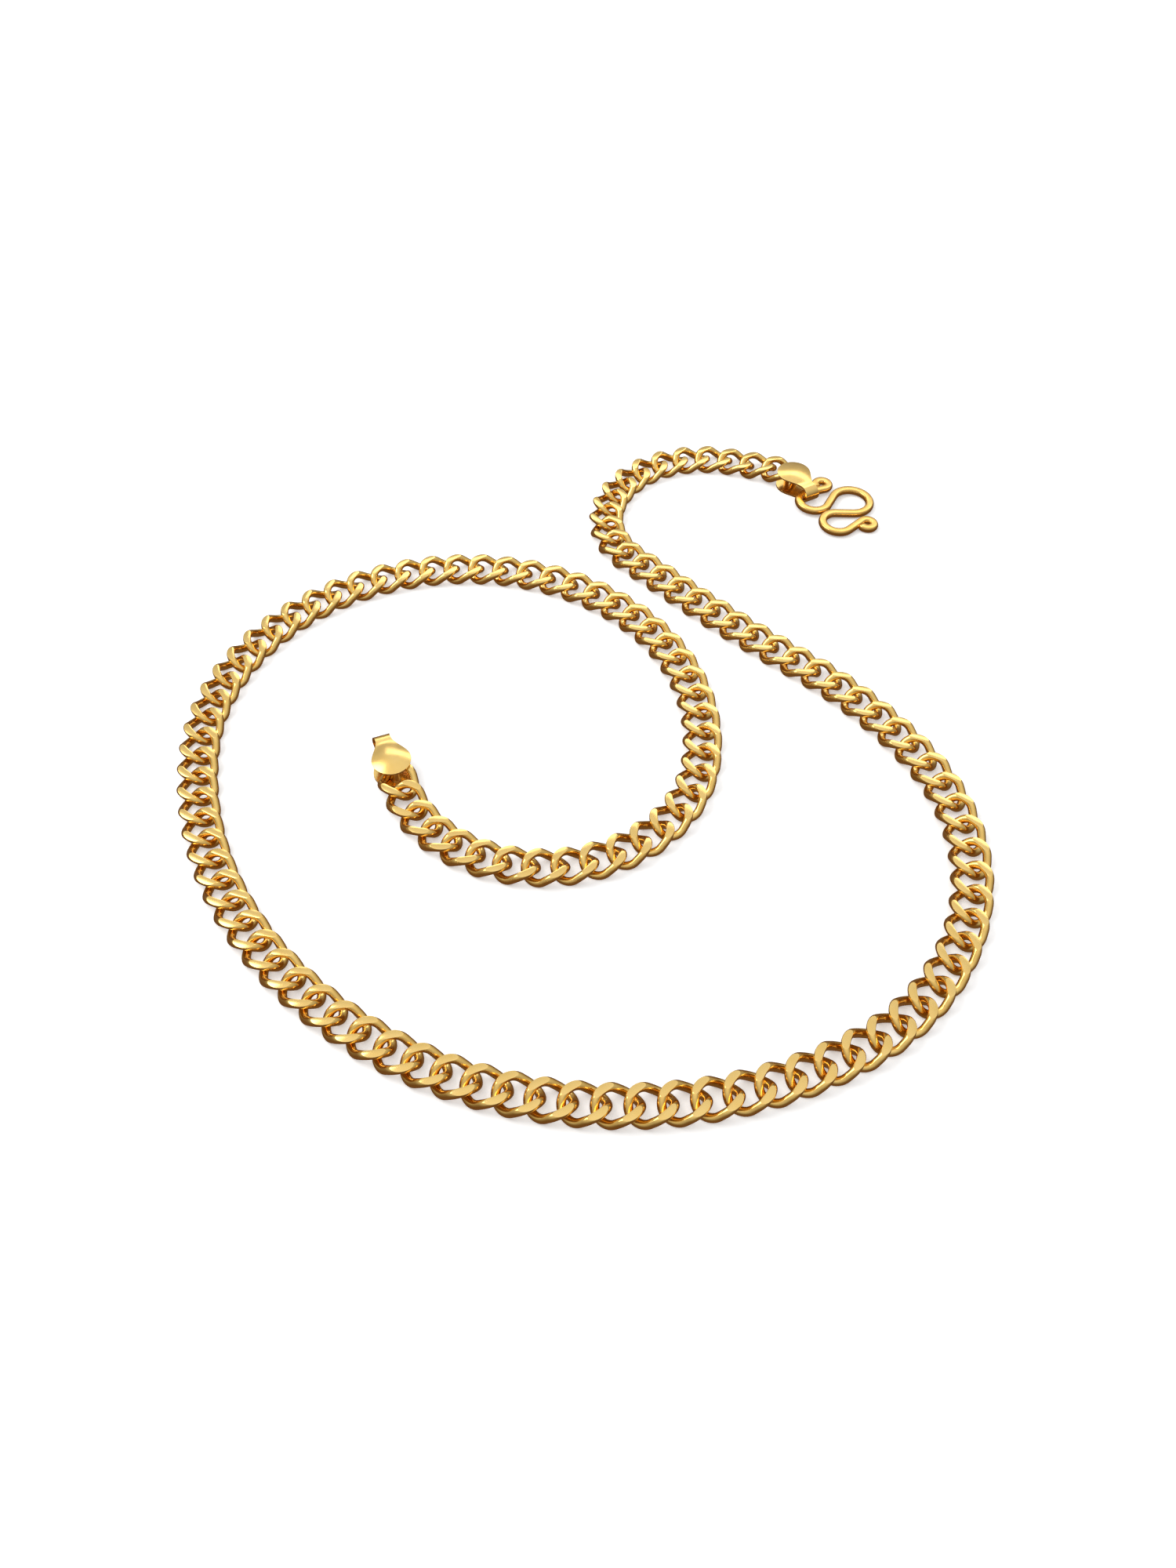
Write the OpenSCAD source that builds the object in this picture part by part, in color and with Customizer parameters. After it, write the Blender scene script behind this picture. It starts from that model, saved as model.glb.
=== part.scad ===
// Curb chain necklace, lying flat in an open spiral, with folded end caps and a bent wire hook.
// Every link is a ring of round wire, twisted about the chain's line and ground flat on both faces.
// Units are millimetres, the necklace lies on z = 0.

/* [Link] */
// Outer length of one link
link_length = 7.1; // [6:0.1:8.5]
// Outer width of one link
link_width = 6.1; // [5.1:0.1:7.3]
// Diameter of the round wire that a link is bent from
wire_d = 1.25; // [1:0.05:1.5]
// Depth ground off the wire at the high spots of each face
grind_depth = 0.36; // [0.1:0.01:0.44]
// Slack along the chain between two linked rings
link_play = 0.4; // [0.3:0.05:0.6]
// How strongly a link is twisted for its wire: more holds crossing wires further apart
twist_factor = 2.6; // [2.5:0.02:3]

/* [Cap] */
// Length of an end cap from its round end to the outside of the fold
cap_length = 9.2; // [8.2:0.1:11]
// Width of a cap at its wide end
cap_width = 5.9; // [4.9:0.1:7.1]
// Width of a cap at its fold
fold_width = 2.8; // [2.3:0.1:3.4]
// Thickness of the sheet that a cap is folded from
sheet_t = 0.35; // [0.3:0.01:0.45]
// Clearance between a leaf and what it covers
leaf_clearance = 0.07; // [0.05:0.01:0.15]
// Diameter of the post that holds the last link between the leaves
post_d = 1; // [0.8:0.05:1.2]
// Distance of the post from the cap's round end
post_inset = 1.2; // [1:0.05:1.45]

/* [Hook] */
// Width of the hook's wire
hook_wire_d = 1.5; // [1.25:0.05:1.8]
// Thickness of the hook between its two ground faces
hook_t = 1.1; // [0.9:0.05:1.25]
// Bend radius of the middle loop, at the wire's centre
middle_r = 3.35; // [2.9:0.05:4]
// Bend radius of the two side loops, at the wire's centre
side_r = 2.65; // [2.4:0.05:3.2]
// Bend radius of the small eye at each end of the wire, at the wire's centre
eye_r = 1.2; // [1:0.05:1.4]
// Straight run between the middle loop and a side loop
middle_run = 3.25; // [2.75:0.05:3.9]
// Straight run between a side loop and its eye
eye_run = 3.6; // [3:0.1:4.3]
// Gap that the two strands of a side loop close to
strand_gap = 0.8; // [0.6:0.05:1]
// Gap between the two side loops
side_gap = 0.1; // [0.05:0.01:0.3]
// Gap between the wire's end and the strand that its eye curls back to
eye_gap = 0.1; // [0.05:0.01:0.2]
// Clearance between the hook's wire and the inside of the fold
fold_clearance = 0.55; // [0.46:0.01:0.66]

/* [Hidden] */
$fn = 64;

// How the chain lies: [number of links, turn to the left from each link to the next], from
// the free cap at the inner end of the spiral to the hook at the outer end
lay = [
    [8, 10.4],
    [7, 10],
    [4, 6],
    [12, 6.3],
    [15, 6.2],
    [15, 3.6],
    [16, 3.9],
    [14, 6.3],
    [6, 3.4],
    [6, -0.9],
    [3, 0],
    [3, -15.8],
    [8, -13.2],
    [1, 1],
    [1, -10]
];
first_heading = -71.8;
links_per_run = 3;
// The link that keeps its place when a size changes, and where its centre is
anchor_link = 61;
anchor = [-25.92, -57.66, 0];
// Turn of each cap about its post, from the line of the link that it holds
free_cap_turn = 3;
hook_cap_turn = -32;
// Turn of the hook, and of its held loop's centre, from the line of its cap
hook_turn = 261;
hook_skew = -3;

turns = [for (s = lay) for (i = [1:s[0]]) s[1]];
last_link = len(turns);
run_count = ceil((last_link + 1) / links_per_run);

// Link: four arcs over the crossing corners, meeting at the two ends and joined by side runs.
// The first arc starts at the link's end, square to its length, and ends on the side run.
pitch = link_length - 2 * wire_d - link_play;
half_l = (link_length - wire_d) / 2;
half_w = (link_width - wire_d) / 2;
end_tilt = asin(twist_factor * wire_d / (2 * half_w));
side_tilt = atan(half_w * tan(end_tilt) / half_l);
arc_reach = half_w / cos(end_tilt);
arc_turn = acos(-sin(end_tilt) * sin(side_tilt));
arc_r = arc_reach / tan(arc_turn / 2);
side_run = 2 * (half_l / cos(side_tilt) - arc_reach);
arc_corner = [half_l, half_w, -half_w * tan(end_tilt)];
to_start = [0, -cos(end_tilt), sin(end_tilt)];
to_side = [-cos(side_tilt), 0, sin(side_tilt)];
inward = unit(to_start + to_side);
arc_centre = arc_corner + inward * arc_reach / sin(arc_turn / 2);
arc_x = unit(arc_corner + to_start * arc_reach - arc_centre);
arc_z = unit(cross(arc_x, arc_corner + to_side * arc_reach - arc_centre));
arc_y = cross(arc_z, arc_x);
corner_height = arc_r * inward[2] - arc_centre[2];
link_t = 2 * (corner_height + wire_d / 2 - grind_depth);

// Butt joints in the bent wires: a hairline gap with a thinner core through it
butt_gap = 0.01;
core_share = 0.7;
core_reach = 0.25;

// Caps, and the rise of the last two links from the table into them
leaf_gap = link_t + 2 * leaf_clearance;
cap_t = leaf_gap + 2 * sheet_t;
cap_lift = (cap_t - link_t) / 2;
cap_slope = asin(cap_lift / pitch);
toe_clearance = 0.1;
post_at = half_l - (wire_d + post_d + link_play) / 2;
fold_at = cap_length - post_inset;
leaf_round_at = cap_width / 2 - post_inset;
fold_flat = 1;
outline_steps = 18;

// Hook: [straight run, bend radius, turn] for each bend, from one eye to the other
eye_turn = 360 - acos((eye_r - hook_wire_d / 2 - eye_gap) / (eye_r + hook_wire_d / 2));
side_turn = loop_turn(side_r, eye_run, (hook_wire_d + strand_gap) / 2);
middle_turn = loop_turn(middle_r + side_r, middle_run, side_r + (hook_wire_d + side_gap) / 2);
bends = [
    [0, eye_r, -eye_turn],
    [eye_run, side_r, side_turn],
    [middle_run, middle_r, -middle_turn],
    [middle_run, side_r, side_turn],
    [eye_run, eye_r, -eye_turn]
];
// The walk's start is turned so that the strand after the first eye runs along x
arc_starts = [
    for (i = 0, s = [0, 0, eye_turn]; i < len(bends); s = after_bend(s, i), i = i + 1)
        after_run(s, bends[i][0])
];
// The bend that the cap's fold holds, and the direction in which the hook leans down to the table
held_bend = 1;
lean_to = 146;
held_centre = bend_centre(held_bend);
lean_reach = max([
    for (i = [0:len(bends) - 1])
        (bend_centre(i) - held_centre) * [cos(lean_to), sin(lean_to)] + bends[i][1] + hook_wire_d / 2
]);
swivel_z = sheet_t + leaf_clearance + hook_t / 2;
hook_lean = asin((swivel_z - hook_t / 2) / lean_reach);
strand_at = fold_at - cap_t / 2 - fold_clearance;
swivel_at = [strand_at + side_r * cos(hook_skew), side_r * sin(hook_skew), swivel_z];

function unit(v) = v / norm(v);
function ray(angle) = [cos(angle), sin(angle), 0];
function run_name(run) = str("links_", run < 10 ? "0" : "", run);

// The chain's walk: link i's heading, and its centre from the first link's centre
headings = [
    for (i = 0, h = first_heading; i <= last_link; h = h + (i < last_link ? turns[i] : 0), i = i + 1) h
];
walk = [
    for (i = 0, p = [0, 0, 0]; i <= last_link; p = p + stride(i), i = i + 1) p
];
function stride(i) = i < last_link ? (ray(headings[i]) + ray(headings[i + 1])) * pitch / 2 : [0, 0, 0];
function link_at(i) = walk[i] - walk[anchor_link] + anchor;

// The last link at each end lies level in its cap, and the next one slopes down to the table
function is_sloped(i) = i == 1 || i == last_link - 1;
function lift(i) = i == 0 || i == last_link ? cap_lift : is_sloped(i) ? cap_lift / 2 + toe_clearance : 0;
function slope(i) = i == 1 ? cap_slope : i == last_link - 1 ? -cap_slope : 0;

// The hook's wire as a walk: a state is [x, y, heading]
function after_run(s, run) = [s[0] + run * cos(s[2]), s[1] + run * sin(s[2]), s[2]];
function centre_from(s, r, turn) = [s[0] - sign(turn) * r * sin(s[2]), s[1] + sign(turn) * r * cos(s[2])];
function after_bend(s, i) =
    let (
        start = after_run(s, bends[i][0]),
        r = bends[i][1],
        turn = bends[i][2],
        centre = centre_from(start, r, turn),
        heading = start[2] + turn
    )
    [centre[0] + sign(turn) * r * sin(heading), centre[1] - sign(turn) * r * cos(heading), heading];
function bend_centre(i) = centre_from(arc_starts[i], bends[i][1], bends[i][2]);

// Turn of a loop whose two strands, of this length, have each closed to this distance from the
// loop's middle line at their far ends
function loop_turn(r, run, distance) = 180 + 2 * (acos(distance / norm([r, run])) - atan(run / r));

// Half the width of a cap's outline at a share of the way from its wide end to its fold
function waist(share) = fold_width / 2 + (cap_width - fold_width) / 4 * (1 + cos(180 * share));

// Bent wire in the xy plane, centred on the origin, from the x axis onwards
module wire_arc(r, turn, d) {
    gap_angle = butt_gap / (2 * r) * 180 / PI;
    rotate([0, 0, gap_angle])
        rotate_extrude(angle = turn - 2 * gap_angle)
            translate([r, 0])
                circle(d = d);
}

// Straight wire along x, centred on the origin, with its core reaching into what it joins
module wire_run(length, d) {
    rotate([0, 90, 0]) {
        if (length > 0)
            cylinder(d = d, h = length - butt_gap, center = true);
        cylinder(d = core_share * d, h = length + 2 * core_reach, center = true);
    }
}

module link_arc() {
    multmatrix([
        [arc_x[0], arc_y[0], arc_z[0], arc_centre[0]],
        [arc_x[1], arc_y[1], arc_z[1], arc_centre[1]],
        [arc_x[2], arc_y[2], arc_z[2], arc_centre[2]]
    ])
        wire_arc(arc_r, arc_turn, wire_d);
}

module half_link() {
    link_arc();
    rotate([180, 0, 0])
        link_arc();
    translate([half_l, 0, 0])
        rotate([-end_tilt, 0, 90])
            wire_run(0, wire_d);
    translate([0, half_w, 0])
        rotate([0, side_tilt, 0])
            wire_run(side_run, wire_d);
}

module link() {
    intersection() {
        union() {
            half_link();
            rotate([0, 0, 180])
                half_link();
        }
        cube([2 * link_length, 2 * link_width, link_t], center = true);
    }
}

module link_run(run) {
    color("gold")
        for (i = [(run - 1) * links_per_run : min(run * links_per_run - 1, last_link)])
            translate(link_at(i) + [0, 0, link_t / 2 + lift(i)])
                rotate([0, slope(i), headings[i]])
                    link();
}

// A cap stands on z = 0 with its post on the z axis and its fold towards +x
module cap_outline() {
    round_end = [
        for (i = [0:outline_steps])
            let (angle = 90 + 180 * i / outline_steps)
            [leaf_round_at + cap_width / 2 * cos(angle), cap_width / 2 * sin(angle)]
    ];
    waist_side = [
        for (i = [1:outline_steps])
            [leaf_round_at + (fold_at - fold_flat - leaf_round_at) * i / outline_steps, waist(i / outline_steps)]
    ];
    fold_end = [[fold_at + fold_flat, fold_width / 2], [fold_at + fold_flat, -fold_width / 2]];
    near_side = [for (p = waist_side) [p[0], -p[1]]];
    far_side = [for (i = [len(waist_side) - 1:-1:0]) waist_side[i]];
    polygon(concat(round_end, near_side, [fold_end[1], fold_end[0]], far_side));
}

module fold_profile(height) {
    translate([-cap_length, (cap_t - height) / 2])
        square([cap_length + fold_at - cap_t / 2, height]);
    translate([fold_at - cap_t / 2, cap_t / 2])
        circle(d = height);
}

module cap() {
    intersection() {
        rotate([90, 0, 0])
            linear_extrude(2 * cap_width, center = true)
                difference() {
                    fold_profile(cap_t);
                    fold_profile(leaf_gap);
                }
        linear_extrude(cap_t)
            cap_outline();
    }
}

module post() {
    translate([0, 0, sheet_t])
        cylinder(d = post_d, h = leaf_gap);
}

module at_free_cap() {
    translate(link_at(0) - post_at * ray(headings[0]))
        rotate([0, 0, headings[0] + 180 + free_cap_turn])
            children();
}

module at_hook_cap() {
    translate(link_at(last_link) + post_at * ray(headings[last_link]))
        rotate([0, 0, headings[last_link] + hook_cap_turn])
            children();
}

module hook_arc(i) {
    turn = bends[i][2];
    start_angle = arc_starts[i][2] - (turn > 0 ? 90 : -90 - turn);
    translate(bend_centre(i))
        rotate([0, 0, start_angle])
            wire_arc(bends[i][1], abs(turn), hook_wire_d);
}

// The run that leads into bend i
module hook_run(i) {
    start = arc_starts[i];
    translate([start[0] - bends[i][0] / 2 * cos(start[2]), start[1] - bends[i][0] / 2 * sin(start[2]), 0])
        rotate([0, 0, start[2]])
            wire_run(bends[i][0], hook_wire_d);
}

module hook_wire() {
    hook_box = 20 * middle_r;
    intersection() {
        union() {
            for (i = [0:len(bends) - 1])
                hook_arc(i);
            for (i = [1:len(bends) - 1])
                hook_run(i);
        }
        cube([hook_box, hook_box, hook_t], center = true);
    }
}

module free_cap() {
    color("goldenrod")
        at_free_cap()
            cap();
}

module free_cap_post() {
    color("darkgoldenrod")
        at_free_cap()
            post();
}

module hook_cap() {
    color("goldenrod")
        at_hook_cap()
            cap();
}

module hook_cap_post() {
    color("darkgoldenrod")
        at_hook_cap()
            post();
}

module hook() {
    color("khaki")
        at_hook_cap()
            translate(swivel_at)
                rotate([0, 0, hook_turn + lean_to])
                    rotate([0, hook_lean, 0])
                        rotate([0, 0, -lean_to])
                            translate([-held_centre[0], -held_centre[1], 0])
                                hook_wire();
}

free_cap();
free_cap_post();
hook_cap();
hook_cap_post();
hook();
for (run = [1:run_count])
    link_run(run);
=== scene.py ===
import math
import random

import bmesh
import bpy
from mathutils import Matrix, Vector


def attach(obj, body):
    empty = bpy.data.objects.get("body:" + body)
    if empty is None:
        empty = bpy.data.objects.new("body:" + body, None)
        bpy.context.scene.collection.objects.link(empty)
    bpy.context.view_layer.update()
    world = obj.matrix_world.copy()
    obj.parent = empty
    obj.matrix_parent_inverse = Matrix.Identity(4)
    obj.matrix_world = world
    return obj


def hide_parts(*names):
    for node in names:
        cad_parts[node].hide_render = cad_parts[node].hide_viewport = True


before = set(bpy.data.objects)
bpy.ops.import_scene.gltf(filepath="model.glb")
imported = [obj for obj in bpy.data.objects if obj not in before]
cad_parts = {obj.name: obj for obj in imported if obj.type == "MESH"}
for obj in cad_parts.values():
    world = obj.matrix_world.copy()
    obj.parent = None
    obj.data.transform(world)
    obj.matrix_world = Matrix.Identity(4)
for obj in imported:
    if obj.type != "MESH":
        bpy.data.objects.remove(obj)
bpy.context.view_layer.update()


# ---- Curb links ----
# A hundred and twenty closed rings of round gold wire, each one twisted about the chain's line so
# that it lies flat over its neighbour, and soldered shut. The finished chain is ground flat on both
# faces, which leaves a polished facet on every high corner, and then polished. Part of each facet's
# brightness is a painted highlight: the facets get a slightly lighter gold than the wire.
MM = 0.001
link_length = 7.1
link_width = 6.1
wire_d = 1.25
grind_depth = 0.36
link_play = 0.4
twist_factor = 2.6
wire_sides = 24
bend_steps = 14
facet_edge = 0.1

pitch = link_length - 2 * wire_d - link_play
half_l = (link_length - wire_d) / 2
half_w = (link_width - wire_d) / 2
end_tilt = math.asin(twist_factor * wire_d / (2 * half_w))
side_tilt = math.atan(half_w * math.tan(end_tilt) / half_l)
bend_reach = half_w / math.cos(end_tilt)
bend_turn = math.acos(-math.sin(end_tilt) * math.sin(side_tilt))
bend_r = bend_reach / math.tan(bend_turn / 2)
side_run = 2 * (half_l / math.cos(side_tilt) - bend_reach)
corner = Vector((half_l, half_w, -half_w * math.tan(end_tilt)))
to_start = Vector((0, -math.cos(end_tilt), math.sin(end_tilt)))
to_side = Vector((-math.cos(side_tilt), 0, math.sin(side_tilt)))
inward = (to_start + to_side).normalized()
bend_centre = corner + inward * bend_reach / math.sin(bend_turn / 2)
bend_start = corner + to_start * bend_reach
bend_axis = (bend_start - bend_centre).cross(corner + to_side * bend_reach - bend_centre).normalized()
link_t = 2 * (bend_r * inward.z - bend_centre.z + wire_d / 2 - grind_depth)


def edges_of(geometry):
    return [part for part in geometry if isinstance(part, bmesh.types.BMEdge)]


def verts_of(geometry):
    return [part for part in geometry if isinstance(part, bmesh.types.BMVert)]


def whole(bm):
    return bm.verts[:] + bm.edges[:] + bm.faces[:]


def stand_section(bm, sides, diameter, place, along):
    """A round wire section at a place, square to the way the wire runs there."""
    stood = Matrix.Translation(place) @ along.to_track_quat("Z", "Y").to_matrix().to_4x4()
    made = bmesh.ops.create_circle(bm, segments=sides, radius=diameter / 2, matrix=stood)
    return list({edge for vert in made["verts"] for edge in vert.link_edges})


def bend_wire(bm, section, centre, axis, turn, steps):
    bent = bmesh.ops.spin(bm, geom=section, cent=centre, axis=axis, angle=turn, steps=steps)
    return edges_of(bent["geom_last"])


def run_wire(bm, section, along):
    drawn = bmesh.ops.extrude_edge_only(bm, edges=section)
    bmesh.ops.translate(bm, verts=verts_of(drawn["geom"]), vec=along)
    return [edge for edge in edges_of(drawn["geom"]) if edge.is_boundary]


def grind_face(bm, height, side):
    """Cuts the wire off above a level face and closes it with facets whose rims are polished round."""
    cut = bmesh.ops.bisect_plane(
        bm, geom=whole(bm), plane_co=(0, 0, side * height), plane_no=(0, 0, side), clear_outer=True
    )
    filled = bmesh.ops.holes_fill(bm, edges=edges_of(cut["geom_cut"]), sides=0)
    # The facets take the second material, a slightly lighter gold than the wire: a painted highlight on
    # top of their real polish.
    for facet in filled["faces"]:
        facet.material_index = 1
    rim = list({edge for facet in filled["faces"] for edge in facet.edges})
    bmesh.ops.bevel(
        bm, geom=rim, offset=facet_edge, segments=2, profile=0.5, affect="EDGES", material=-1,
        clamp_overlap=True,
    )


def bend_link():
    """One link lying along x with its centre at the origin, in millimetres."""
    bm = bmesh.new()
    first = stand_section(bm, wire_sides, wire_d, bend_start, -to_start)
    about_y = Matrix.Diagonal((-1, 1, -1))
    about_z = Matrix.Diagonal((-1, -1, 1))
    half = [(bend_centre, bend_axis), (about_y @ bend_centre, -(about_y @ bend_axis))]
    bends = half + [(about_z @ centre, about_z @ axis) for centre, axis in half]
    runs = [to_side * side_run, None, about_z @ (to_side * side_run), None]
    section = first
    for (centre, axis), run in zip(bends[:3], runs):
        section = bend_wire(bm, section, centre, axis, bend_turn, bend_steps)
        if run:
            section = run_wire(bm, section, run)
    short_turn = bend_turn * (bend_steps - 1) / bend_steps
    section = bend_wire(bm, section, *bends[3], short_turn, bend_steps - 1)
    bmesh.ops.bridge_loops(bm, edges=first + section)
    bmesh.ops.remove_doubles(bm, verts=bm.verts[:], dist=0.0005)
    bmesh.ops.recalc_face_normals(bm, faces=bm.faces[:])
    for side in (1, -1):
        grind_face(bm, link_t / 2, side)
    bmesh.ops.recalc_face_normals(bm, faces=bm.faces[:])
    return bm


def gold(name, light, deep, roughness, scratch_depth):
    """Yellow gold: two shades in soft drifts, a polish that varies, and fine scratches from wear."""
    made = bpy.data.materials.new(name)
    made.use_nodes = True
    nodes = made.node_tree.nodes
    links = made.node_tree.links
    shader = nodes["Principled BSDF"]
    shader.inputs["Metallic"].default_value = 1.0
    place = nodes.new("ShaderNodeTexCoord").outputs["Object"]

    def noise(scale, detail, stretch=None):
        grain = nodes.new("ShaderNodeTexNoise")
        grain.inputs["Scale"].default_value = scale
        grain.inputs["Detail"].default_value = detail
        source = place
        if stretch:
            drawn = nodes.new("ShaderNodeMapping")
            drawn.inputs["Rotation"].default_value = stretch[0]
            drawn.inputs["Scale"].default_value = stretch[1]
            links.new(place, drawn.inputs["Vector"])
            source = drawn.outputs["Vector"]
        links.new(source, grain.inputs["Vector"])
        return grain.outputs["Fac"]

    def spread(value, low, high, low_value, high_value):
        mapped = nodes.new("ShaderNodeMapRange")
        mapped.inputs["From Min"].default_value = low
        mapped.inputs["From Max"].default_value = high
        mapped.inputs["To Min"].default_value = low_value
        mapped.inputs["To Max"].default_value = high_value
        links.new(value, mapped.inputs["Value"])
        return mapped.outputs["Result"]

    shades = nodes.new("ShaderNodeValToRGB")
    shades.color_ramp.elements[0].position = 0.35
    shades.color_ramp.elements[0].color = (*deep, 1)
    shades.color_ramp.elements[1].position = 0.65
    shades.color_ramp.elements[1].color = (*light, 1)
    links.new(noise(420, 3), shades.inputs["Fac"])
    links.new(shades.outputs["Color"], shader.inputs["Base Color"])
    smear = spread(noise(600, 2), 0.3, 0.7, roughness * 0.85, roughness * 1.2)
    links.new(smear, shader.inputs["Roughness"])
    scratches = nodes.new("ShaderNodeMath")
    scratches.operation = "MAXIMUM"
    links.new(noise(2600, 2, ((0, 0, 0.5), (0.12, 2.4, 1))), scratches.inputs[0])
    links.new(noise(2600, 2, ((0.4, 0, 2.1), (0.12, 2.4, 1))), scratches.inputs[1])
    worn = nodes.new("ShaderNodeBump")
    worn.inputs["Distance"].default_value = scratch_depth * MM
    worn.inputs["Strength"].default_value = 1.0
    links.new(scratches.outputs["Value"], worn.inputs["Height"])
    links.new(worn.outputs["Normal"], shader.inputs["Normal"])
    return made


wire_gold = gold("wire_gold", (0.94, 0.64, 0.21), (0.90, 0.58, 0.17), 0.16, 0.0004)
# The facet gold is a little lighter than the wire gold, which is a painted highlight; its smoother polish
# and finer scratches are a real finish.
facet_gold_painted_highlight = gold("facet_gold_painted_highlight", (0.95, 0.67, 0.25), (0.93, 0.63, 0.21), 0.15, 0.0003)

# How the chain lies: [number of links, degrees to the left from each link to the next], from the
# free cap at the inner end of the spiral to the hook at the outer end.
lay = [
    (8, 10.4), (7, 10), (4, 6), (12, 6.3), (15, 6.2),
    (15, 3.6), (16, 3.9), (14, 6.3), (6, 3.4), (6, -0.9),
    (3, 0), (3, -15.8), (8, -13.2), (1, 1), (1, -10),
]
links_per_run = 3
most_roll = 1
first_heading = -71.8
anchor_link = 61
anchor = Vector((-25.92, -57.66, 0))
leaf_clearance = 0.07
toe_clearance = 0.1

headings = [math.radians(first_heading)]
for count, turn in lay:
    for _ in range(count):
        headings.append(headings[-1] + math.radians(turn))
last_link = len(headings) - 1


def ray(heading):
    return Vector((math.cos(heading), math.sin(heading), 0))


link_places = [Vector((0, 0, 0))]
for here, after in zip(headings, headings[1:]):
    link_places.append(link_places[-1] + (ray(here) + ray(after)) * pitch / 2)
to_anchor = anchor - link_places[anchor_link]
link_places = [place + to_anchor for place in link_places]

sheet_t = 0.35
cap_lift = leaf_clearance + sheet_t
cap_slope = math.asin(cap_lift / pitch)
lifts = {0: cap_lift, last_link: cap_lift}
lifts.update({link: cap_lift / 2 + toe_clearance for link in (1, last_link - 1)})
slopes = {1: cap_slope, last_link - 1: -cap_slope}


def finish_piece(name, bm, materials, body, stands_for):
    """Turns a finished shape in millimetres into a piece in metres that rides on its body."""
    bmesh.ops.scale(bm, verts=bm.verts[:], vec=(MM, MM, MM))
    mesh = bpy.data.meshes.new(name)
    bm.to_mesh(mesh)
    bm.free()
    mesh.shade_smooth()
    for material in materials:
        mesh.materials.append(material)
    piece = bpy.data.objects.new(name, mesh)
    bpy.context.scene.collection.objects.link(piece)
    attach(piece, body)
    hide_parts(stands_for)
    return piece


one_link = bpy.data.meshes.new("one_link")
link_shape = bend_link()
link_shape.to_mesh(one_link)
link_shape.free()
settle = random.Random(7)
run_count = math.ceil(len(headings) / links_per_run)
for run in range(1, run_count + 1):
    run_shape = bmesh.new()
    first_link = (run - 1) * links_per_run
    for link in range(first_link, first_link + links_per_run):
        rise = Vector((0, 0, link_t / 2 + lifts.get(link, 0)))
        place = Matrix.Translation(link_places[link] + rise)
        turned = Matrix.Rotation(headings[link], 4, "Z")
        sloped = Matrix.Rotation(slopes.get(link, 0), 4, "Y")
        roll = 0 if link in lifts else settle.uniform(-most_roll, most_roll)
        rolled = Matrix.Rotation(math.radians(roll), 4, "X")
        laid = one_link.copy()
        laid.transform(place @ turned @ sloped @ rolled)
        run_shape.from_mesh(laid)
        bpy.data.meshes.remove(laid)
    node = f"links_{run:02d}"
    finish_piece(f"{node}_gold", run_shape, [wire_gold, facet_gold_painted_highlight], f"run_{run:02d}", node)
bpy.data.meshes.remove(one_link)


# ---- Caps ----
# One at each end of the chain: a strip of gold sheet pressed to a leaf shape with a narrow waist,
# crowned a little, and folded over so that its two leaves close on the last link. The fold flares
# into a lip and stays open as a loop.
cap_length = 9.2
cap_width = 5.9
post_inset = 1.2
post_d = 1.0
neck_width = 2.4
lip_width = 2.8
leaf_crown = 0.42
crown_reach = 1.15
sheet_edge_round = 0.1
leaf_gap = link_t + 2 * leaf_clearance
cap_t = leaf_gap + 2 * sheet_t
fold_at = cap_length - post_inset
fold_centre = Vector((fold_at - cap_t / 2, 0, cap_t / 2))
fold_r = (leaf_gap + sheet_t) / 2
round_at = cap_width / 2 - post_inset
post_at = half_l - (wire_d + post_d + link_play) / 2
rows_across = 14


def leaf_half_width(x):
    """Half the leaf's width: a round end, then an S curve in to the neck before the fold."""
    if x < round_at:
        return math.sqrt(max((cap_width / 2) ** 2 - (round_at - x) ** 2, 0.01))
    share = min((x - round_at) / (fold_centre.x - round_at), 1)
    return neck_width / 2 + (cap_width - neck_width) / 4 * (1 + math.cos(math.pi * share))


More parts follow.
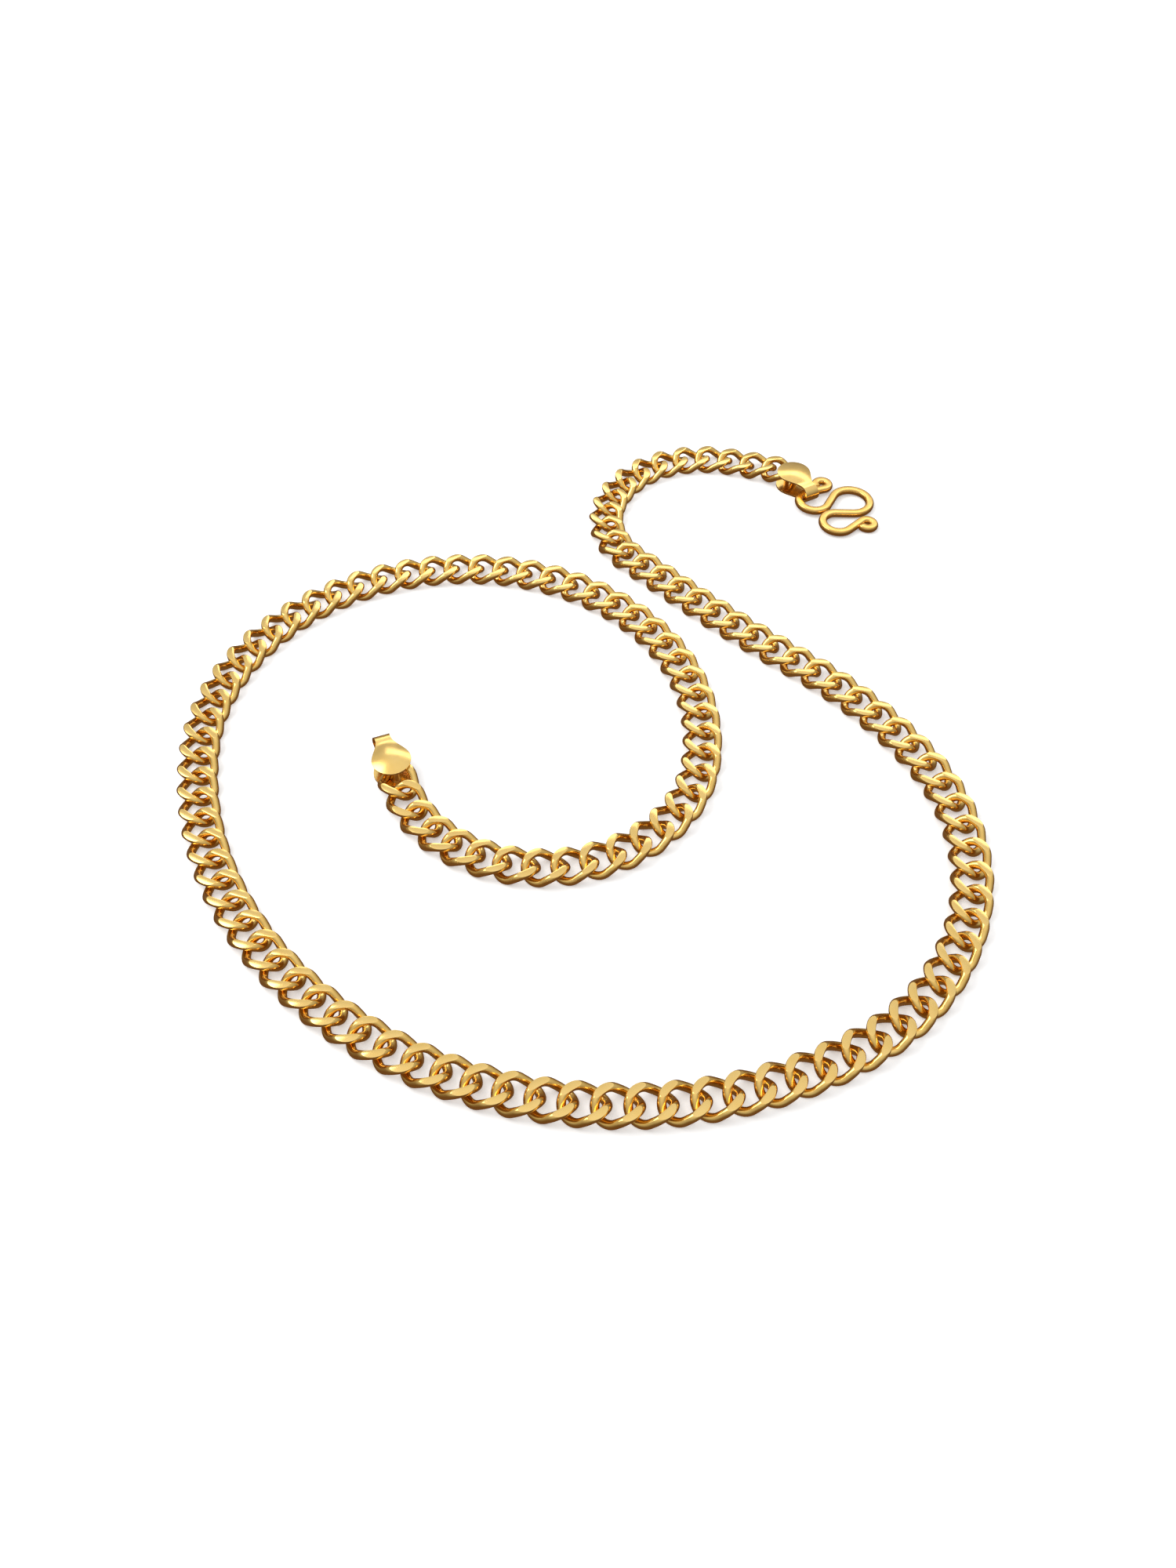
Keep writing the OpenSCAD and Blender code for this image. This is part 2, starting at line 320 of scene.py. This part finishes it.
def fold_cap():
    """A cap with its post on the z axis and its fold towards +x, as a sheet without thickness."""
    bm = bmesh.new()
    round_angles = [math.radians(angle) for angle in (4, 12, 22, 33, 45, 57, 69, 80)]
    round_stops = [round_at - cap_width / 2 * math.cos(angle) for angle in round_angles]
    waist_stops = [round_at + (fold_centre.x - round_at) * step / 11 for step in range(12)]
    stops = round_stops + waist_stops
    grid = bmesh.ops.create_grid(bm, x_segments=1, y_segments=rows_across, size=0.5)
    edge_verts = [vert for vert in bm.verts if vert.co.x > 0]
    bmesh.ops.delete(bm, geom=[vert for vert in grid["verts"] if vert.co.x < 0], context="VERTS")
    top = cap_t / 2 + fold_r
    bmesh.ops.translate(bm, verts=edge_verts, vec=(stops[0] - 0.5, 0, top))
    bmesh.ops.scale(bm, verts=edge_verts, vec=(1, 2 * leaf_half_width(stops[0]), 1))
    row = bm.edges[:]

    def pull_row(row, step, widen):
        pulled = bmesh.ops.extrude_edge_only(bm, edges=row)
        moved = verts_of(pulled["geom"])
        bmesh.ops.translate(bm, verts=moved, vec=step)
        bmesh.ops.scale(bm, verts=moved, vec=(1, widen, 1))
        return [edge for edge in edges_of(pulled["geom"]) if all(vert in moved for vert in edge.verts)]

    for here, after in zip(stops, stops[1:]):
        row = pull_row(row, (after - here, 0, 0), leaf_half_width(after) / leaf_half_width(here))
    bent = bmesh.ops.spin(bm, geom=row, cent=fold_centre, axis=(0, 1, 0), angle=math.pi, steps=12)
    row = edges_of(bent["geom_last"])
    back = stops[::-1]
    for here, after in zip(back, back[1:]):
        row = pull_row(row, (after - here, 0, 0), leaf_half_width(after) / leaf_half_width(here))
    for vert in bm.verts:
        across = vert.co.y / leaf_half_width(vert.co.x) if vert.co.x < fold_centre.x else 0
        past = max(vert.co.x - fold_centre.x, 0) / fold_r
        vert.co.y *= 1 + (lip_width / neck_width - 1) * past**2
        if vert.co.z > cap_t / 2 and vert.co.x < fold_centre.x:
            along = (vert.co.x + post_inset) / (fold_centre.x + post_inset)
            vert.co.z += leaf_crown * (1 - across**2) * math.sin(math.pi * min(along * crown_reach, 1))
    bmesh.ops.recalc_face_normals(bm, faces=bm.faces[:])
    return bm


cap_gold = gold("cap_gold", (0.95, 0.66, 0.24), (0.92, 0.62, 0.2), 0.19, 0.0003)


def add_modifier(piece, kind, **values):
    added = piece.modifiers.new(kind.title(), kind)
    for key, value in values.items():
        setattr(added, key, value)


def place_at_post(post_place, heading):
    return Matrix.Translation(post_place) @ Matrix.Rotation(heading, 4, "Z")


free_cap_turn = math.radians(3)
hook_cap_turn = math.radians(-32)
free_cap_place = place_at_post(
    link_places[0] - post_at * ray(headings[0]), headings[0] + math.pi + free_cap_turn
)
hook_cap_place = place_at_post(
    link_places[-1] + post_at * ray(headings[-1]), headings[-1] + hook_cap_turn
)
for cap, place in (("free_cap", free_cap_place), ("hook_cap", hook_cap_place)):
    cap_shape = fold_cap()
    bmesh.ops.transform(cap_shape, matrix=place, verts=cap_shape.verts[:])
    piece = finish_piece(f"{cap}_sheet", cap_shape, [cap_gold], cap, cap)
    add_modifier(piece, "SOLIDIFY", thickness=sheet_t * MM, offset=0)
    add_modifier(
        piece, "BEVEL", width=sheet_edge_round * MM, segments=2, limit_method="ANGLE",
        angle_limit=math.radians(50),
    )
    add_modifier(piece, "SUBSURF", levels=1, render_levels=1)


# ---- Posts ----
# A short gold pin stands between the two leaves of each cap, inside the last link, and holds it.
# It is soldered at both ends, and the solder leaves a small fillet against each leaf.
fillet = 0.22
post_gold = gold("post_gold", (0.78, 0.48, 0.16), (0.68, 0.38, 0.11), 0.34, 0.003)


def turn_post():
    bm = bmesh.new()
    ring = stand_section(bm, 24, post_d + 2 * fillet, Vector((0, 0, sheet_t)), Vector((0, 0, 1)))
    profile = [
        (0.35 * fillet, -1.3 * fillet), (0.65 * fillet, -0.7 * fillet),
        (leaf_gap - 2 * fillet, 0), (0.65 * fillet, 0.7 * fillet), (0.35 * fillet, 1.3 * fillet),
    ]
    width = post_d + 2 * fillet
    for rise, widen in profile:
        ring = run_wire(bm, ring, Vector((0, 0, rise)))
        verts = list({vert for edge in ring for vert in edge.verts})
        bmesh.ops.scale(bm, verts=verts, vec=((width + widen) / width, (width + widen) / width, 1))
        width += widen
    bmesh.ops.holes_fill(bm, edges=[edge for edge in bm.edges if edge.is_boundary], sides=0)
    bmesh.ops.recalc_face_normals(bm, faces=bm.faces[:])
    return bm


for cap, place in (("free_cap", free_cap_place), ("hook_cap", hook_cap_place)):
    post_shape = turn_post()
    bmesh.ops.transform(post_shape, matrix=place, verts=post_shape.verts[:])
    finish_piece(f"{cap}_pin", post_shape, [post_gold], cap, f"{cap}_post")


# ---- Hook ----
# One length of gold wire, pressed a little flat, bent over pegs into a middle loop with a side loop
# on each hand, and curled into a small eye at each end. One side loop hangs in the fold of the cap.
hook_wire_d = 1.5
hook_t = 1.1
middle_r = 3.35
side_r = 2.65
eye_r = 1.2
middle_run = 3.25
eye_run = 3.6
strand_gap = 0.8
side_gap = 0.1
eye_gap = 0.1
fold_clearance = 0.55
hook_skew = math.radians(-3)
hook_turn = math.radians(261)
lean_to = math.radians(146)
bend_spacing = math.radians(4)
edge_round = 0.12
end_rounding = ((0.1, 0.92), (0.1, 0.78), (0.06, 0.6))


def loop_turn(r, run, distance):
    return math.pi + 2 * (math.acos(distance / math.hypot(r, run)) - math.atan(run / r))


eye_turn = 2 * math.pi - math.acos((eye_r - hook_wire_d / 2 - eye_gap) / (eye_r + hook_wire_d / 2))
side_turn = loop_turn(side_r, eye_run, (hook_wire_d + strand_gap) / 2)
middle_turn = loop_turn(middle_r + side_r, middle_run, side_r + (hook_wire_d + side_gap) / 2)
hook_bends = [
    (0, eye_r, -eye_turn),
    (eye_run, side_r, side_turn),
    (middle_run, middle_r, -middle_turn),
    (middle_run, side_r, side_turn),
    (eye_run, eye_r, -eye_turn),
]


def bend_hook():
    """The hook flat on z = 0 with its first strand along x. Returns the shape and its loops' centres."""
    bm = bmesh.new()
    heading = eye_turn
    section = stand_section(bm, 28, hook_wire_d, Vector((0, 0, 0)), ray(heading))
    bmesh.ops.contextual_create(bm, geom=section)
    for side in (1, -1):
        bmesh.ops.bisect_plane(
            bm, geom=whole(bm), plane_co=(0, 0, side * hook_t / 2), plane_no=(0, 0, side), clear_outer=True
        )
    level = [vert for vert in bm.verts if abs(abs(vert.co.z) - hook_t / 2) < 1e-4]
    bmesh.ops.bevel(
        bm, geom=level, offset=edge_round, segments=3, profile=0.5, affect="VERTICES", material=-1
    )
    bmesh.ops.delete(bm, geom=bm.faces[:], context="FACES_ONLY")
    section = bm.edges[:]
    ends = [section]
    place = Vector((0, 0, 0))
    centres = []
    for run, r, turn in hook_bends:
        if run:
            section = run_wire(bm, section, ray(heading) * run)
            place = place + ray(heading) * run
        left = math.copysign(1, turn)
        to_left = ray(heading + math.pi / 2)
        centre = place + to_left * left * r
        steps = round(abs(turn) / bend_spacing)
        section = bend_wire(bm, section, centre, (0, 0, left), abs(turn), steps)
        heading += turn
        place = centre - ray(heading + math.pi / 2) * left * r
        centres.append(centre)
    ends.append(section)
    for end, way in zip(ends, (-ray(eye_turn), ray(heading))):
        rim = end
        for step, shrink in end_rounding:
            rim = run_wire(bm, rim, way * step)
            verts = list({vert for edge in rim for vert in edge.verts})
            middle = sum((vert.co for vert in verts), Vector()) / len(verts)
            bmesh.ops.scale(bm, verts=verts, vec=(shrink,) * 3, space=Matrix.Translation(-middle))
        bmesh.ops.contextual_create(bm, geom=rim)
    bmesh.ops.recalc_face_normals(bm, faces=bm.faces[:])
    return bm, centres


hook_shape, loop_centres = bend_hook()
held_centre = loop_centres[1]
lean_reach = max(
    (centre - held_centre).dot(ray(lean_to)) + r + hook_wire_d / 2
    for centre, (_, r, _) in zip(loop_centres, hook_bends)
)
swivel_z = sheet_t + leaf_clearance + hook_t / 2
hook_lean = math.asin((swivel_z - hook_t / 2) / lean_reach)
strand_at = fold_at - cap_t / 2 - fold_clearance
swivel_place = Vector((strand_at + side_r * math.cos(hook_skew), side_r * math.sin(hook_skew), swivel_z))
hook_place = (
    hook_cap_place
    @ Matrix.Translation(swivel_place)
    @ Matrix.Rotation(hook_turn + lean_to, 4, "Z")
    @ Matrix.Rotation(hook_lean, 4, "Y")
    @ Matrix.Rotation(-lean_to, 4, "Z")
    @ Matrix.Translation(-held_centre)
)
bmesh.ops.transform(hook_shape, matrix=hook_place, verts=hook_shape.verts[:])
hook_gold = gold("hook_gold", (0.88, 0.56, 0.18), (0.82, 0.5, 0.14), 0.2, 0.0002)
finish_piece("hook_wire", hook_shape, [hook_gold], "hook", "hook")


# ---- Table and light ----
# The necklace lies on a white table in a light tent: a large soft panel at the left, a narrow one
# beyond, and walls that grow brighter from a dim floor line up to a bright ceiling.
table_material = bpy.data.materials.new("white_table")
table_material.use_nodes = True
table_shader = table_material.node_tree.nodes["Principled BSDF"]
table_shader.inputs["Base Color"].default_value = (0.9, 0.91, 0.95, 1)
table_shader.inputs["Roughness"].default_value = 0.9
table_shader.inputs["Specular IOR Level"].default_value = 0.1
table_shader.inputs["Emission Color"].default_value = (1, 1, 1, 1)
table_shader.inputs["Emission Strength"].default_value = 0.32
table_shape = bmesh.new()
bmesh.ops.create_grid(table_shape, x_segments=1, y_segments=1, size=1.5)
table_mesh = bpy.data.meshes.new("table")
table_shape.to_mesh(table_mesh)
table_shape.free()
table_mesh.materials.append(table_material)
table = bpy.data.objects.new("table", table_mesh)
table.visible_glossy = False
bpy.context.scene.collection.objects.link(table)

tent = bpy.data.worlds.new("light_tent")
tent.use_nodes = True
tent_nodes = tent.node_tree.nodes
tent_links = tent.node_tree.links
looking = tent_nodes.new("ShaderNodeTexCoord")
height = tent_nodes.new("ShaderNodeSeparateXYZ")
tent_links.new(looking.outputs["Generated"], height.inputs["Vector"])
upright = tent_nodes.new("ShaderNodeMapRange")
upright.inputs["From Min"].default_value = -1
tent_links.new(height.outputs["Z"], upright.inputs["Value"])
tones = tent_nodes.new("ShaderNodeValToRGB")
tones.color_ramp.elements[0].position = 0.3
tones.color_ramp.elements[0].color = (0.16, 0.09, 0.05, 1)
tones.color_ramp.elements[1].position = 1.0
tones.color_ramp.elements[1].color = (1.0, 1.0, 0.98, 1)
tent_tones = ((0.5, (0.22, 0.17, 0.12)), (0.62, (0.42, 0.4, 0.37)), (0.8, (0.65, 0.65, 0.63)))
for position, colour in tent_tones:
    tone = tones.color_ramp.elements.new(position)
    tone.color = (*colour, 1)
tent_links.new(upright.outputs["Result"], tones.inputs["Fac"])
tent_links.new(tones.outputs["Color"], tent_nodes["Background"].inputs["Color"])
tent_nodes["Background"].inputs["Strength"].default_value = 1.0
bpy.context.scene.world = tent


def soft_panel(name, place, size, brightness, tint):
    lamp = bpy.data.lights.new(name, "AREA")
    lamp.shape = "RECTANGLE"
    lamp.size, lamp.size_y = size
    lamp.energy = brightness * math.pi * size[0] * size[1]
    lamp.color = tint
    panel = bpy.data.objects.new(name, lamp)
    panel.location = place
    panel.rotation_euler = (-Vector(place)).to_track_quat("-Z", "Y").to_euler()
    bpy.context.scene.collection.objects.link(panel)


soft_panel("left_panel", (-0.38, 0.12, 0.45), (0.4, 0.4), 3.4, (1, 0.98, 0.93))
soft_panel("far_panel", (0.1, 0.5, 0.42), (0.6, 0.14), 1.5, (1, 0.98, 0.93))
bpy.context.scene.view_settings.view_transform = "Standard"

lens = bpy.data.cameras.new("camera")
lens.lens = 33.32
lens.sensor_width = 36
camera = bpy.data.objects.new("camera", lens)
camera.location = (0.00216, -0.15676, 0.163837)
camera.rotation_euler = (math.radians(41.385), 0, 0)
bpy.context.scene.collection.objects.link(camera)
bpy.context.scene.camera = camera
